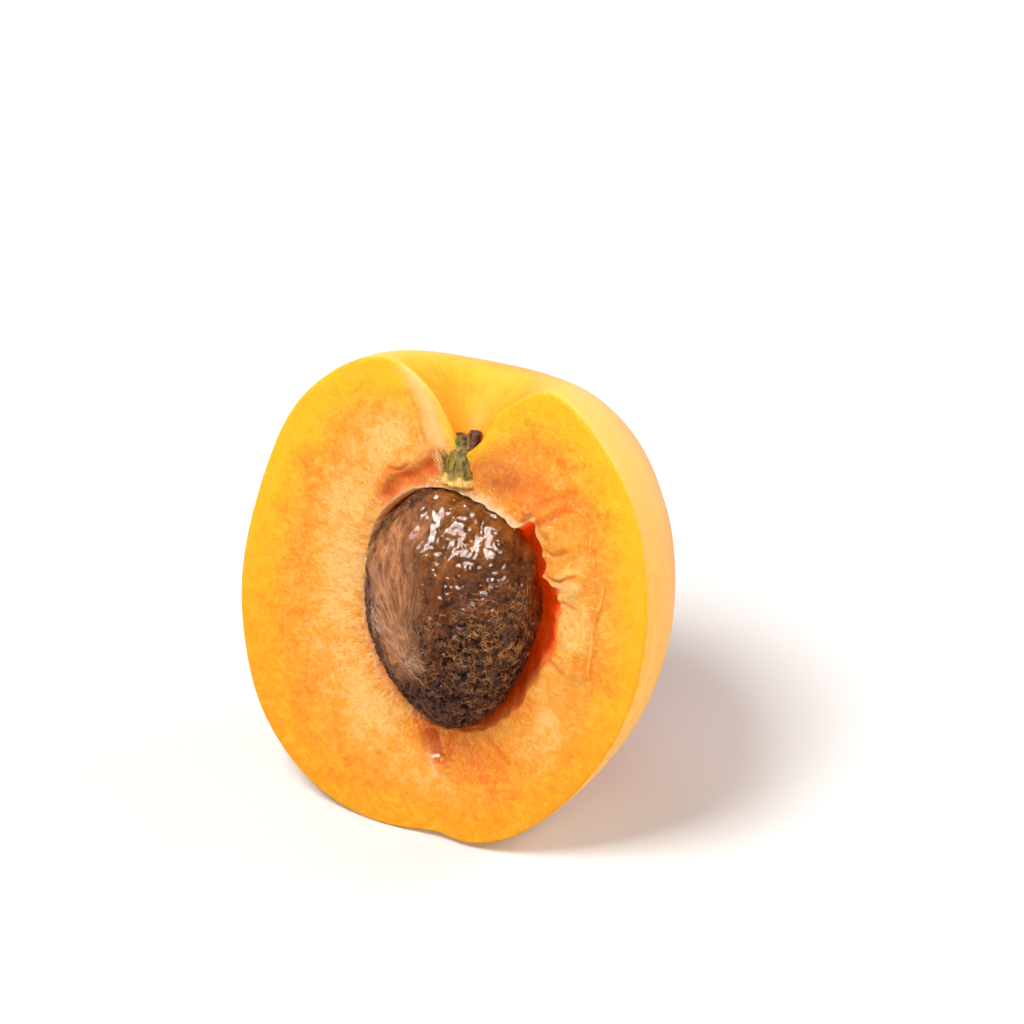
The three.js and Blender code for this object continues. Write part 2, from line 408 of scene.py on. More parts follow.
def flesh_finish():
    """Cut flesh: a yellow band under the skin, fibrous orange inside it, and a wet red hollow."""
    r = Recipe(
        "flesh",
        subsurface_weight=0.4,
        subsurface_radius=(1.0, 0.35, 0.08),
        subsurface_scale=1.6 * MM,
        ior=1.4,
        specular_ior_level=0.2,
        coat_roughness=0.1,
        emission_strength=1.0,
    )
    grown, rays = r.painted("grown", 1), r.painted("rays", 1)
    across, height, near = r.painted("across"), r.painted("height"), r.painted("near")
    inside, crease, vein = r.painted("inside"), r.painted("crease"), r.painted("vein")
    cloud = r.bumps(grown, 0.17, 2.0, 0.8)
    blotch = r.bumps(grown, 0.62, 5.0, 1.0, 0.62)
    grain = r.bumps(grown, 2.6, 4.0, 0.6, 0.7)
    fibre = r.bumps(rays.stretched(22, 22, 9.0), 1.0, 5.0, 1.6, 0.65)
    thread = r.bumps(rays.stretched(34, 34, 9.0), 1.0, 4.0, 2.0, 0.7)

    tone = cloud * 0.22 + blotch * 0.4 + fibre * 0.38 + r.painted("pale") * 0.11 - r.painted("ripe") * 0.15
    tone = tone + near * (thread - 0.46) * 0.5 - across.step(0.3, 0.62) * 0.05
    pulp = r.mix(colour(0.91, 0.20, 0.002), colour(0.95, 0.345, 0.014), tone.step(0.32, 0.47))
    pulp = r.mix(pulp, colour(0.97, 0.55, 0.15), tone.step(0.46, 0.65))
    pulp = r.mix(pulp, colour(0.98, 0.63, 0.30), thread.step(0.51, 0.64) * near * 0.7)
    # painted shade: dark orange-brown between the pale threads near the lip
    pulp = r.mix(pulp, colour(0.66, 0.140, 0.003), (1 - thread.step(0.36, 0.47)) * near * 0.65)
    band = r.mix(colour(0.94, 0.33, 0.0), colour(0.96, 0.49, 0.002), height.step(-24, 14))
    band = r.mix(band, colour(0.97, 0.55, 0.02), blotch.step(0.46, 0.66) * 0.45)
    edge = across + (cloud - 0.5) * 0.35 + (blotch - 0.5) * 0.3 + (fibre - 0.5) * 0.2
    flesh = r.mix(pulp, band, edge.step(0.55, 0.92))
    pale_grain = r.mix(colour(0.98, 0.58, 0.22), colour(0.97, 0.52, 0.02), edge.step(0.4, 0.8))
    flesh = r.mix(flesh, pale_grain, grain.step(0.52, 0.68) * (0.6 - across * 0.3))
    flesh = r.mix(flesh, colour(0.86, 0.20, 0.002), (1 - grain.step(0.32, 0.48)) * (0.6 - across * 0.45))
    flesh = r.mix(flesh, colour(0.98, 0.62, 0.26), r.painted("light") * (blotch * 0.6 + 0.6))
    # painted shade: dark red-brown in the valleys by the stone and the stalk, and the stone's painted
    # shadow on the flesh below it
    stained = r.painted("stain") * (blotch.step(0.34, 0.62) * 0.5 + 0.4)
    flesh = r.mix(flesh, colour(0.56, 0.085, 0.014), stained)
    # painted shade: darker orange in the sunken bands along both sides of the raised veins
    flesh = r.mix(flesh, colour(0.88, 0.20, 0.003), r.painted("vein_shade") * 0.4)
    # painted shade: deeper orange along the lip, where it rolls into the hollow
    flesh = r.mix(flesh, colour(0.92, 0.24, 0.006), r.painted("brink") * (grain * 0.9 + 0.2))
    flesh = r.mix(flesh, colour(1.0, 0.86, 0.60), r.painted("membrane") * (grain * 0.6 + 0.8))
    veined = vein.step(0.3, 0.95) * (blotch.step(0.35, 0.55) * 0.6 + 0.15)
    flesh = r.mix(flesh, colour(0.97, 0.52, 0.09), veined)
    # painted shade: deep red down the creases
    flesh = r.mix(flesh, colour(0.76, 0.105, 0.001), crease * (fibre * 0.5 + 0.4))
    wall = (fibre * 0.6 + blotch * 0.4).step(0.36, 0.66)
    wall = r.mix(colour(0.50, 0.030, 0.001), colour(0.78, 0.095, 0.002), wall)
    flesh = r.mix(flesh, wall, inside)
    # painted glow: the hollow and the lip roll give off a red-orange light of their own, standing in for
    # light that shines through the flesh
    glow = r.mix(colour(0.0, 0.0, 0.0), colour(0.60, 0.034, 0.0), r.painted("glow") * (blotch * 0.9 + 0.4))

    wet = inside.step(0.6, 1.0) * 0.6 + r.painted("torn") * 0.6 + grain.step(0.58, 0.72) * 0.6
    rough = 0.52 - wet * 0.2 + (grain - 0.5) * 0.4 + crease * 0.3
    relief = grain * 0.95 + fibre * (near * 1.5 + (1 - across) * 0.6)
    r.feed(base_color=flesh, roughness=rough, coat_weight=wet, emission_color=glow)
    r.feed(normal=r.relief(relief, 0.3))
    return r.material


def skin_finish():
    """Downy skin: peach by the cut, yellow round the stalk, amber behind, with a faint blush."""
    r = Recipe(
        "skin",
        subsurface_weight=0.3,
        subsurface_radius=(1.0, 0.45, 0.15),
        subsurface_scale=2.2 * MM,
        ior=1.4,
        specular_ior_level=0.25,
        sheen_weight=0.1,
        sheen_roughness=0.45,
        sheen_tint=colour(1.0, 0.86, 0.68),
    )
    grown, spokes = r.painted("grown", 1), r.painted("spokes", 1)
    height, depth = r.painted("height"), r.painted("depth")
    from_axis, cavity = r.painted("from_axis"), r.painted("cavity")
    cloud = r.bumps(grown, 0.07, 3.0, 0.5)
    mottle = r.bumps(grown, 0.55, 5.0, 0.3, 0.6)
    down = r.bumps(grown, 4.5, 3.0, 0.0, 0.7)
    streak = r.bumps(spokes.stretched(16, 16, 0.12), 1.0, 4.0, 0.8, 0.6)
    pore = r.node("ShaderNodeTexVoronoi", {"feature": "F1"}, {"Vector": grown, "Scale": 1.25})
    speck = r.node("ShaderNodeTexVoronoi", {"feature": "F1"}, {"Vector": grown, "Scale": 0.21})

    amber = (cloud + (mottle - 0.5) * 0.5).step(0.3, 0.7)
    amber = r.mix(colour(0.78, 0.19, 0.008), colour(0.92, 0.29, 0.014), amber)
    blush = r.painted("blush") * (mottle.step(0.3, 0.7) * 0.5 + 0.3)
    amber = r.mix(amber, colour(0.62, 0.08, 0.010), blush)
    peach = r.mix(colour(0.95, 0.41, 0.03), colour(0.97, 0.51, 0.07), mottle.step(0.3, 0.7))
    peach = r.mix(peach, colour(0.98, 0.56, 0.12), height.step(4, 22))
    skin = r.mix(peach, amber, (depth + (cloud - 0.5) * 8).step(3, 17))
    lightness = (streak * 0.5 + mottle * 0.5 - 0.5) * 1.2 + from_axis * 0.075
    golden = r.mix(colour(0.93, 0.32, 0.0), colour(0.96, 0.48, 0.015), lightness.step(0.25, 0.9))
    # painted highlight: pale cream on the ridge round the stem cavity
    golden = r.mix(golden, colour(0.98, 0.68, 0.30), lightness.step(0.8, 1.2))
    golden = r.mix(colour(0.93, 0.30, 0.0), golden, from_axis.step(0.5, 4.0))
    skin = r.mix(skin, golden, cavity)
    skin = r.mix(skin, colour(0.98, 0.58, 0.20), (1 - pore.step(0.05, 0.3)) * 0.12)
    specks = (1 - speck.step(0.035, 0.07)) * from_axis.step(4, 9) * 0.8
    skin = r.mix(skin, colour(0.30, 0.10, 0.02), specks)
    relief = down * 0.25 + mottle * 0.5 + pore.step(0.0, 0.45) * 0.12 + streak * cavity * 0.15
    rough = 0.44 + (mottle - 0.5) * 0.2 + cavity * 0.2
    r.feed(base_color=skin, roughness=rough, normal=r.relief(relief, 0.12))
    return r.material


def stone_finish():
    """The wet shell: a smooth pinkish film, wrinkled brown at the top and dark and fibrous below."""
    r = Recipe(
        "stone_shell",
        subsurface_weight=0.08,
        subsurface_scale=0.8 * MM,
        ior=1.4,
        specular_ior_level=0.12,
        coat_roughness=0.1,
        coat_ior=1.3,
    )
    grown, combed = r.painted("grown", 1), r.painted("combed", 1)
    film, wrinkled, crown = r.painted("film"), r.painted("wrinkled"), r.painted("crown")
    pit, damp = r.painted("pit"), r.painted("damp")
    streak = r.bumps(combed.stretched(3.2, 3.2, 0.45), 1.0, 5.0, 0.7, 0.7)
    cloud = r.bumps(grown, 0.35, 3.0, 0.8)
    tangle = r.bumps(grown, 1.3, 6.0, 1.4, 0.75)
    thread = r.bumps(grown.stretched(1.0, 1.0, 0.75), 2.8, 3.0, 2.4, 0.6)
    lines = 1 - ((thread - 0.5) * (thread - 0.5) * 1100).step(0.0, 1.0)

    shell = (tangle * 0.75 + cloud * 0.25).step(0.42, 0.62)
    shell = r.mix(colour(0.004, 0.001, 0.0), colour(0.18, 0.036, 0.002), shell)
    shell = r.mix(shell, colour(0.68, 0.25, 0.035), lines * tangle.step(0.44, 0.56) * 0.7)
    mingled = (tangle * 0.4 + streak * 0.3 + cloud * 0.3).step(0.38, 0.62)
    top = r.mix(colour(0.016, 0.004, 0.0), colour(0.27, 0.066, 0.004), mingled)
    # lighter tan over the top of the stone: partly its own colour, partly painted light against the shade
    # where it curves away into the hollow
    tan_and_lit_top = r.mix(colour(0.14, 0.040, 0.003), colour(0.56, 0.185, 0.028), mingled)
    top = r.mix(top, tan_and_lit_top, crown * 0.85)
    shell = r.mix(shell, top, wrinkled)
    pink = (streak * 0.75 + cloud * 0.25).step(0.34, 0.66)
    pink = r.mix(colour(0.17, 0.048, 0.014), colour(0.58, 0.23, 0.085), pink)
    shell = r.mix(shell, pink, film)
    violet = r.mix(colour(0.016, 0.005, 0.003), colour(0.20, 0.062, 0.034), tangle.step(0.38, 0.66))
    # darker violet-brown at the bottom tip and the far left edge: partly the stone's own tone, partly
    # painted shade where it turns away into the hollow
    shell = r.mix(shell, violet, r.painted("dusk") * 0.85)
    # painted shade: near black in the pits
    shell = r.mix(shell, colour(0.008, 0.003, 0.001), pit * 0.7)
    rough = 0.5 - wrinkled * 0.15 + (tangle - 0.5) * 0.5
    wet = 0.1 + damp * 0.9 + tangle.step(0.48, 0.62) * 0.9
    relief = tangle * (1 - film * 0.7) * (1 - wrinkled * 0.7) * (1 - crown * 0.4)
    relief = relief + streak * film * 0.6 + lines * 0.3 * (1 - film)
    r.feed(base_color=shell, roughness=rough, coat_weight=wet, normal=r.relief(relief, 0.3))
    return r.material


def stalk_finish():
    """Olive bark with long fibres, and the dry brown end of the longer prong."""
    r = Recipe(
        "stalk_bark",
        subsurface_weight=0.1,
        subsurface_scale=0.6 * MM,
        ior=1.4,
        specular_ior_level=0.25,
    )
    grown = r.painted("grown", 1)
    fibre = r.bumps(grown.stretched(2.4, 2.4, 0.45), 1.0, 5.0, 0.5, 0.6)
    flake = r.bumps(grown, 1.8, 4.0, 0.8, 0.7)
    green = r.mix(colour(0.050, 0.044, 0.002), colour(0.34, 0.22, 0.010), fibre.step(0.36, 0.66))
    green = r.mix(green, colour(0.60, 0.32, 0.03), flake.step(0.52, 0.68) * 0.6)
    green = r.mix(green, colour(0.20, 0.060, 0.006), (1 - flake.step(0.34, 0.46)) * 0.35)
    brown = r.mix(colour(0.030, 0.010, 0.004), colour(0.26, 0.10, 0.045), fibre.step(0.38, 0.68))
    collar = r.painted("collar") * (fibre.step(0.25, 0.55) * 0.5 + 0.5)
    bark = r.mix(green, colour(0.93, 0.55, 0.13), collar)
    bark = r.mix(bark, brown, r.painted("dry"))
    relief = fibre * 0.8 + flake * 0.5
    r.feed(base_color=bark, roughness=0.55 + (flake - 0.5) * 0.3, normal=r.relief(relief, 0.25))
    return r.material


def fibre_finish(name, dark, light, coat):
    """A moist strand, lighter and darker along its length."""
    r = Recipe(name, subsurface_weight=0.3, subsurface_scale=0.5 * MM, ior=1.4, coat_roughness=0.15)
    object_place = r.node("ShaderNodeTexCoord", {}, {}, 3)
    shade = r.bumps(object_place, 900.0, 2.0)
    shaded = r.mix(dark, light, shade.step(0.35, 0.65))
    r.feed(base_color=shaded, roughness=0.35 + shade * 0.2, coat_weight=coat)
    return r.material


# ---- The half ------------------------------------------------------------------------------------


def reach_along(profile, tilt):
    """How far a profile is from the middle of the fruit, at each angle from straight up."""
    curve = smooth_curve(profile)
    return np.interp(tilt, np.arctan2(curve[:, 0], curve[:, 1]), np.hypot(curve[:, 0], curve[:, 1]))


def fruit_reach(direction):
    """How far the skin is from the middle of the fruit in each direction."""
    x, y, z = direction.T
    flat = np.maximum(np.hypot(x, y), 1e-9)
    tilt = np.arctan2(flat, z)
    side = np.where(x > 0, reach_along(RIGHT_SIDE, tilt), reach_along(LEFT_SIDE, tilt))
    backness = (y / flat) ** 2
    return side * (1 - backness) + reach_along(CHEEK, tilt) * backness


def outline_reach(turn, points):
    """How far an outline in the cut face is from the middle of the hollow, at each angle round it."""
    x, z = (np.asarray(points) - HOLLOW_MIDDLE).T
    return np.interp(turn, np.arctan2(z, x), np.hypot(x, z), period=2 * math.pi)


def stone_outline():
    """The widest line round the stone, in the cut face."""
    around = np.linspace(0, 2 * math.pi, 200, endpoint=False)
    narrowing = STONE_TAPER + STONE_SHOULDER * (np.cos(around) > 0)
    x = STONE_HALF[0] * np.cos(around) * (1 + narrowing * np.sin(around))
    z = STONE_HALF[2] * np.sin(around)
    turned_x = x * math.cos(TURN) + z * math.sin(TURN)
    turned_z = z * math.cos(TURN) - x * math.sin(TURN)
    return np.c_[turned_x + STONE_MIDDLE[0], turned_z + STONE_MIDDLE[2]]


def bell(turn, middle, half_width):
    """1 at one angle round the cut face, in degrees, falling off to 0 beside it."""
    off = (np.degrees(turn) - middle + 180) % 360 - 180
    return fall_off(off, half_width)


def shape_lip(turn):
    """The lip as it tore: ragged on the right, and close round the stone everywhere else."""
    ring = np.c_[np.cos(turn), np.sin(turn), np.zeros(len(turn))]
    ragged = 0.3 + 0.7 * step(np.cos(turn), -0.1, 0.5)
    wave = (bumps(ring, 0.3) * 0.5 + bumps(ring, 0.09, 5.0) * 0.4) * ragged
    lip = outline_reach(turn, smooth_curve((*LIP, LIP[0]), 6)) + wave
    return np.maximum(lip, outline_reach(turn, stone_outline()) + 0.05) - bell(turn, 80, 25) * 0.35


def cut_face_relief(across, up, from_lip, turn, share):
    """How far the cut face stands out at each place, and where it is creased, veined and torn."""
    flat = np.c_[across, up, np.zeros(len(across))]
    rays = np.c_[np.cos(turn), np.sin(turn), from_lip * 0.035]
    wobble = bumps(flat, 1.3, 3.0) * 0.22
    out = bumps(flat, 5.0) * 0.2 + bumps(flat, 1.6, 7.0) * 0.1 + bumps(flat, 0.7, 4.0) * 0.06
    out, crease, _ = carved(across + wobble, up + wobble, CREASES, out, 1)
    out, vein, vein_shade = carved(across + wobble * 0.4, up + wobble * 0.4, VEINS, out, -1)
    beside = np.sin(math.pi * np.clip(from_lip / 5.4, 0, 1)) * step(across, 6, 10)
    out += beside * step(up, -11, -3) * (1 - step(up, 12, 16)) * (0.8 + bumps(flat, 2.4, 2.0) * 0.7)
    out += np.exp(-from_lip / 1.4) * (0.1 + bumps(rays, 0.07) * 0.5)
    out += bumps(rays, 0.04, 4.0) * 0.25 * np.exp(-from_lip / 3.5)
    out += bell(turn, 78, 28) * fall_off(from_lip, 0.7) * (1.3 + bumps(rays, 0.1, 8.0) * 0.5)
    torn = patches(across, up, TORN_PATCHES)
    out += torn * (ridges(flat, 0.9, 9.0) * 0.5 - 0.2)
    return out * (1 - step(share, 0.86, 1.0)), {"crease": crease, "vein": vein, "vein_shade": vein_shade, "torn": torn}


def shape_half(piece):
    """A ball shaped into the half: its front pole is the bottom of the hollow, its back pole the cheek."""
    ball = places(piece)
    rings = HOLLOW_RINGS + FACE_RINGS + SKIN_RINGS
    ring = np.rint(np.arccos(np.clip(ball[:, 2], -1, 1)) / math.pi * rings)
    turn = np.arctan2(ball[:, 1], ball[:, 0])
    turn = turn - CROWDING * np.sin(turn - math.pi / 2)
    cos, sin = np.cos(turn), np.sin(turn)

    rim = np.c_[cos, np.zeros(len(turn)), sin]
    rim_x, rim_z = (rim * fruit_reach(rim)[:, None])[:, (0, 2)].T
    lip = shape_lip(turn)
    lip_x, lip_z = HOLLOW_MIDDLE[0] + lip * cos, HOLLOW_MIDDLE[1] + lip * sin
    width = np.hypot(rim_x - lip_x, rim_z - lip_z)

    # The hollow
    sweep = ring / HOLLOW_RINGS * math.pi / 2
    wall = np.c_[cos, sin, sweep]
    rough = bumps(wall, 0.11) * 0.35 + bumps(wall, 0.3, 3.0) * 0.5
    slope = 1.1 + 0.8 * step(cos, -0.2, 0.8)  # the right wall leans in more than the left one
    cup = np.c_[
        HOLLOW_MIDDLE[0] + lip * cos * np.sin(sweep),
        LIP_ROUND + (HOLLOW_DEPTH - LIP_ROUND + rough * np.sin(2 * sweep)) * np.cos(sweep) ** slope,
        HOLLOW_MIDDLE[1] + lip * sin * np.sin(sweep),
    ]

    # The cut face
    share = np.clip((ring - HOLLOW_RINGS) / FACE_RINGS, 0, 1)
    share = 0.65 * share + 0.35 * share**2  # closer together at the lip
    from_lip = share * width
    inner = np.minimum(share, 1 - RIM_ROUND / width)
    face_x, face_z = lip_x + (rim_x - lip_x) * inner, lip_z + (rim_z - lip_z) * inner
    out, marks = cut_face_relief(face_x, face_z, from_lip, turn, share)
    roll = 1 - np.clip(from_lip / LIP_ROUND, 0, 1)
    out -= LIP_ROUND * (1 - np.sqrt(1 - roll**2))
    at_lip = step(from_lip, 0, 0.5)
    face = np.c_[face_x, -out * at_lip - (at_lip - 1) * LIP_ROUND, face_z]
    on_rim = ring == HOLLOW_RINGS + FACE_RINGS
    face[on_rim] = np.c_[rim_x, np.full(len(turn), RIM_ROUND), rim_z][on_rim]

    # The skin
    back = np.clip((ring - HOLLOW_RINGS - FACE_RINGS) / SKIN_RINGS, 0, 1) * math.pi / 2
    way = np.c_[cos * np.cos(back), np.sin(back), sin * np.cos(back)]
    dents = bumps(way, 0.35) * 0.35 + bumps(way, 0.12, 6.0) * 0.07
    cheek = way * (fruit_reach(way) + dents * np.sin(back))[:, None]
    cheek[:, 1] += RIM_ROUND * np.cos(back)

    is_cup = ring < HOLLOW_RINGS
    is_skin = ring > HOLLOW_RINGS + FACE_RINGS
    grown = np.where(is_cup[:, None], cup, np.where(is_skin[:, None], cheek, face))
    move_to(piece, grown)

    # What the materials read
    x, y, z = grown.T
    from_axis = np.hypot(x, y)
    cavity = (1 - step(from_axis, 7.0, 13.0)) * step(z, 12, 17) * is_skin
    lip_side = (1 - step(from_lip, 0.0, 0.5)) * 0.5 * step(x, 3.0, 7.0)
    # Painted glow: where the flesh gives off light of its own, most in the right of the hollow and faintly
    # all round the lip roll
    glow = np.where(is_cup, 1 - 0.4 * step(y, 1.0, 4.0), 0.5 * (1 - step(from_lip, 0.0, 0.6)))
    glow = step(x, 1.0, 7.0) * (1 - 0.75 * step(-z, 1.0, 8.0)) * glow
    glow += (0.12 + 0.1 * step(x, 3.0, 9.0)) * np.exp(-from_lip / 0.7) * ~is_cup
    top_skin = bell(turn, 76, 28) * fall_off(from_lip, 0.7)
    left_skin = (bell(turn, 120, 24) + bell(turn, 205, 42) * 0.6) * fall_off(from_lip - 0.4, 0.2) * 0.5
    # painted shadow of the stone on the flesh just below it
    stone_shadow = bell(turn, 262, 26) * np.exp(-from_lip / 0.6) * 0.8
    paint(
        piece,
        grown=grown,
        rays=np.c_[cos, sin, share + sweep * is_cup],
        spokes=np.c_[x / from_axis.clip(0.1), y / from_axis.clip(0.1), from_axis],
        from_axis=from_axis,
        across=share,
        height=z,
        depth=y,
        inside=np.where(is_cup, 0.5 + 0.5 * step(y, 0.6, 2.4), lip_side),
        glow=glow,
        membrane=np.maximum(top_skin, left_skin) * ~is_cup,
        brink=np.exp(-from_lip / 0.7) * ~is_cup * (1 - bell(turn, 70, 32)),
        near=np.exp(-from_lip / 3.0) * (1 - 0.5 * step(x, 2.0, 8.0)) * ~is_cup * ~is_skin,
        pale=patches(x, z, PALE_PATCHES),
        ripe=patches(x, z, RIPE_PATCHES),
        stain=np.maximum(patches(x, z, BROWN_SHADE_PATCHES), stone_shadow) * ~is_cup,
        light=sum(fall_off(gap_to(x, z, line), half_width) for line, half_width in PALE_LINES) * 0.75,
        cavity=cavity,
        blush=patches(x, z, BLUSH_PATCHES) * step(y, 8, 20),
        **marks,
    )
    return ring >= HOLLOW_RINGS + FACE_RINGS  # on the rim or behind it


def sit_flat(piece, softness=0.25):
    """Presses flat what would be below the floor, with a softly rounded edge."""
    points = places(piece)
    height = points[:, 2] / MM
    points[:, 2] = (height + np.hypot(height, softness)) / 2 * MM
    move_to(piece, points)


def build_half():
    """Flesh and skin on one closed mesh, which meet at the rim."""
    half = new_ball("cut_half", AROUND, HOLLOW_RINGS + FACE_RINGS + SKIN_RINGS)
    from_rim = shape_half(half)
    half.data.materials.append(flesh_finish())
    half.data.materials.append(skin_finish())
    corners = np.empty(len(half.data.loops), int)
    half.data.loops.foreach_get("vertex_index", corners)
    first = np.empty(len(half.data.polygons), int)
    half.data.polygons.foreach_get("loop_start", first)
    is_skin = from_rim[corners[first]] & from_rim[corners[first + 2]]
    half.data.polygons.foreach_set("material_index", is_skin.astype(np.int32))
    lean_back(half)
    sit_flat(half)
    settle(half, "fruit", "apricot_half")


# ---- The stone -----------------------------------------------------------------------------------


def shape_stone(piece):
    """A ball shaped into the stone, with its film, wrinkles, pits and fibres grown on it."""
    ball = places(piece)
    x, y, up = ball.T
    girth = np.hypot(x, y)
    angle = np.arctan2(y, x)
    lens = (np.abs(np.cos(angle)) ** STONE_KEEL + np.abs(np.sin(angle)) ** STONE_KEEL) ** (-1 / STONE_KEEL)
    narrowing = STONE_TAPER + STONE_SHOULDER * np.cos(angle).clip(0) ** 2
    girth = girth * lens * (1 + narrowing * up)
    egg = np.c_[girth * np.cos(angle), girth * np.sin(angle), up] * STONE_HALF
    move_to(piece, egg)
    out = normals(piece)

    facing = np.degrees(np.arctan2(egg[:, 0], -egg[:, 1]))  # 0 towards the front, 90 to the right
    long = egg * (1, 1, 0.16)
    wander = bumps(egg, 3.0) * 14 + bumps(long, 0.9, 2.0) * 14
    edge, height = facing + wander, egg[:, 2] + bumps(egg, 2.0, 9.0) * 1.6
    film = step(edge, -66, -46) * (1 - step(edge, -28, 16))
    film *= (1 - step(height, 10.0, 13.5) * 0.8) * step(height, -8.0, -4.5)
    wrinkled = step(height, -2.0, 3.5) * (1 - film)
    fibrous = np.clip(1 - film - wrinkled, 0, 1)
    slanting = egg @ np.array(((1, 0, 0), (0, 1, 0), (-0.4, 0, 0.36)))
    pit = step(bumps(egg, 0.8, 8.0), 0.24, 0.44) * (fibrous * 0.9 + wrinkled * 0.35)
    rise = bumps(egg, 4.0, 1.0) * 0.3
    rise += film * (bumps(long, 0.8, 2.0) * 0.1 + bumps(egg, 2.2, 4.0) * 0.14)
    leaning_height = height - egg[:, 0] * 0.35
    crown = step(leaning_height, 3.0, 9.0)
    rise += step(height, -1.0, 4.0) * (bumps(slanting, 1.7, 3.0) * 0.45 + bumps(slanting, 0.7, 5.0) * 0.12)
    rise += (1 - film) * (1 - crown * 0.6) * bumps(egg, 0.5, 11.0) * 0.12
    rise += fibrous * (ridges(egg, 0.9, 6.0) * 0.22 + bumps(egg, 0.45, 7.0) * 0.18)
    rise -= pit * 0.45
    grown = egg + out * (rise - 0.1)[:, None]
    turned = np.c_[
        grown[:, 0] * math.cos(TURN) + grown[:, 2] * math.sin(TURN),
        grown[:, 1],
        grown[:, 2] * math.cos(TURN) - grown[:, 0] * math.sin(TURN),
    ] + STONE_MIDDLE
    move_to(piece, turned)
    dusk = np.maximum(1 - step(leaning_height, -9.5, -5.5), 1 - step(edge, -62, -48))
    from_swirl = egg - STONE_SWIRL
    way = from_swirl / np.linalg.norm(from_swirl, axis=1).clip(0.5)[:, None]
    combed = np.c_[way[:, 0] * 5, way[:, 2] * 5, np.linalg.norm(from_swirl, axis=1)]
    damp = step(height, 0.0, 5.0) * (1 - film * 0.4)
    paint(piece, grown=grown, combed=combed, film=film, wrinkled=wrinkled)
    paint(piece, crown=crown, damp=damp, pit=pit, dusk=dusk)


def build_stone():
    stone = new_ball("stone_shell", STONE_AROUND, STONE_RINGS)
    shape_stone(stone)
    stone.data.materials.append(stone_finish())
    lean_back(stone)
    settle(stone, "stone", "stone")
    return stone


# ---- Fibres --------------------------------------------------------------------------------------

DARK_FIBRES = 1000
FILM_FIBRES = 240
SWIRL_FIBRES = 110
LIP_FIBRES = 260
LIP_CLUMPS = (150, 163, 171, 178, 186, 196, 207, 214, 226, 238, 247, 255, 62, 84, 100)  # degrees round
STALK_FIBRES = 110
HOOK_FIBRES = 50


def strands(name, paths, thickness, material, material_slot):
    """Thin tapering strands along the given paths, in metres, as one mesh."""
    curve = bpy.data.curves.new(name, "CURVE")
    curve.dimensions = "3D"
    curve.bevel_depth = thickness * MM
    curve.bevel_resolution = 0
    curve.use_fill_caps = True
    for path in paths:
        spline = curve.splines.new("POLY")
        spline.points.add(len(path) - 1)
        for i, (point, place) in enumerate(zip(spline.points, path)):
            point.co = (*place, 1)
            point.radius = 1.0 - 0.75 * abs(2 * i / (len(path) - 1) - 1) ** 2
    bunch = bpy.data.objects.new(name, curve)
    bpy.context.collection.objects.link(bunch)
    bpy.ops.object.select_all(action="DESELECT")
    bunch.select_set(True)
    bpy.context.view_layer.objects.active = bunch
    bpy.ops.object.convert(target="MESH")
    bunch = bpy.context.object
    bunch.name = bunch.data.name = name
    bunch.data.materials.clear()
    bunch.data.materials.append(material)
    settle(bunch, material_slot)


def crawl(ground, start, heading, length, lift, pieces=6, wander=0.5):
    """A path of the given length, in metres, that keeps close to the surface of a piece."""
    path = []
    place = start
    for i in range(pieces):
        _, on, normal, _ = ground.closest_point_on_mesh(place)
        rise = lift * math.sin(math.pi * (i + 0.4) / pieces)
        path.append(on + normal * rise)
        heading = heading + Vector(random.uniform(-wander, wander) for _ in range(3))
        heading = (heading - normal * heading.dot(normal)).normalized()
        place = on + heading * length / pieces
    return path


def on_stone(facing, up):
    """A place on the front of the stone: degrees to the right of straight ahead, and height."""
    ring = math.sqrt(max(0.0, 1 - (up / STONE_HALF[2]) ** 2)) * (1 + STONE_TAPER * up / STONE_HALF[2])
    turn = math.radians(facing)
    egg = Vector((math.sin(turn) * ring * STONE_HALF[0], -math.cos(turn) * ring * STONE_HALF[1], up))
    return TO_FRAME @ (Matrix.Rotation(TURN, 3, "Y") @ egg + Vector(STONE_MIDDLE))


def build_stone_fibres(stone):
    """Short stiff fibres on the dark part of the stone, and pale ones combed along its film."""
    random.seed(12)
    tilted = Matrix.Rotation(-LEAN, 3, "X")
    gold = []
    for _ in range(DARK_FIBRES):
        start = on_stone(random.triangular(-8, 92, 60), random.triangular(-12.5, 7.0, -2.0))
        heading = tilted @ Vector((random.uniform(-1, 1), 0, random.uniform(-0.6, 0.6)))
        length, lift = random.uniform(0.4, 1.9) * MM, random.uniform(0.01, 0.16) * MM
        gold.append(crawl(stone, start, heading, length, lift, 6, 0.7))
    pale = []
    swirl = on_stone(-14, STONE_SWIRL[2])
    for _ in range(FILM_FIBRES):
        start = on_stone(random.uniform(-50, 4), random.triangular(-3.5, 8.5, -2.0))
        heading = (swirl - start).normalized() + Vector(random.gauss(0, 0.12) for _ in range(3))
        length, lift = random.uniform(1.0, 3.4) * MM, random.uniform(0.01, 0.08) * MM
        pale.append(crawl(stone, start, heading, length, lift, 6, 0.16))
    for _ in range(SWIRL_FIBRES):
        start = on_stone(random.gauss(-13, 5), random.gauss(-4.6, 0.8))
        heading = tilted @ Vector((random.uniform(0.1, 1), 0, random.uniform(-0.7, 0.5)))
        length, lift = random.uniform(1.0, 2.8) * MM, random.uniform(0.02, 0.12) * MM
        pale.append(crawl(stone, start, heading, length, lift, 6, 0.35))
    gold_finish = fibre_finish("stone_fibre", colour(0.08, 0.020, 0.003), colour(0.66, 0.23, 0.036), 0.3)
    pale_finish = fibre_finish("film_fibre", colour(0.30, 0.11, 0.04), colour(0.66, 0.33, 0.16), 0.3)
    strands("stone_fibres", gold, 0.030, gold_finish, "stone")
    strands("film_fibres", pale, 0.024, pale_finish, "stone")


